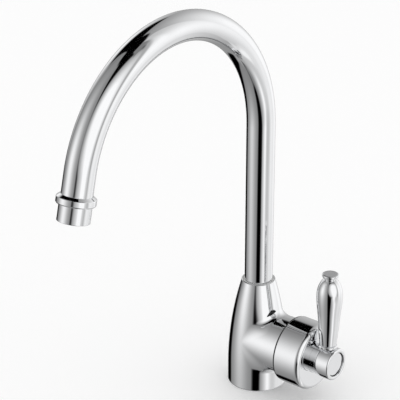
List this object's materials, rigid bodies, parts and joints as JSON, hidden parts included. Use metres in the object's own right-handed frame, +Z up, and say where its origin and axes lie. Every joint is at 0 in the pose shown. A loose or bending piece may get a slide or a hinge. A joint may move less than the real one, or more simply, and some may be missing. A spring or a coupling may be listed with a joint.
{
  "type": "three way filtered water tap",
  "caption": "Deck mounted kitchen tap with a swivelling gooseneck spout, a side lever, and a separate inner water line for filtered water.",
  "frame": {"origin": "centre of the base's underside, on the worktop over the tap hole", "axes": "+Z up out of the worktop, -Y out over the sink along the spout, +X along the valve's axis towards the lever"},
  "size_m": [0.1154, 0.2759, 0.4325],
  "materials": {
    "chrome": "polished chrome plate",
    "brass": "machined",
    "black_rubber": "matte moulded",
    "white_plastic": "moulded",
    "ceramic": "lapped ceramic",
    "steel": "zinc plated",
    "grey_metal": "polished grey"
  },
  "bodies": {
    "tap_body": {"body_casting": "chrome", "base_seal": "black_rubber", "mounting_shank": "brass", "clamp_gasket": "black_rubber", "clamp_washer": "steel", "shank_nut": "brass", "spout_bearing_ring": "white_plastic", "spout_thrust_washer": "white_plastic", "spout_retaining_screw": "steel", "filter_line_seal": "black_rubber", "cartridge_base": "white_plastic", "cartridge_port_seals": "black_rubber", "fixed_ceramic_disc": "ceramic", "cartridge_housing": "white_plastic", "cartridge_nut": "brass", "bonnet": "chrome", "bonnet_gasket": "black_rubber", "stem_bush": "white_plastic"},
    "spout": {"spout_tube": "chrome", "spout_spigot": "brass", "spigot_o_rings": "black_rubber", "filtered_water_line": "white_plastic", "line_spacers": "white_plastic", "nozzle_collar": "chrome", "aerator_shell": "chrome", "aerator_washer": "black_rubber", "aerator_insert": "white_plastic", "filtered_jet": "brass"},
    "handle": {"cartridge_spindle": "brass", "spindle_seal": "black_rubber", "disc_driver": "white_plastic", "moving_ceramic_disc": "ceramic", "lever_hub": "chrome", "hub_screw": "steel", "index_ring": "black_rubber", "index_plate": "chrome", "lever_collar": "chrome", "lever_grip": "chrome", "lever_finial": "chrome", "finial_disc": "grey_metal", "lever_stud": "steel"}
  },
  "joints": [
    {"name": "spout_swivel", "type": "hinge", "parent": "tap_body", "child": "spout", "pos_m": [0, 0, 0.1], "axis": [0, 0, 1], "continuous": true},
    {"name": "lever_turn", "type": "hinge", "parent": "tap_body", "child": "handle", "pos_m": [0.06, 0, 0.0441], "axis": [1, 0, 0], "range_deg": [-90, 90]}
  ]
}
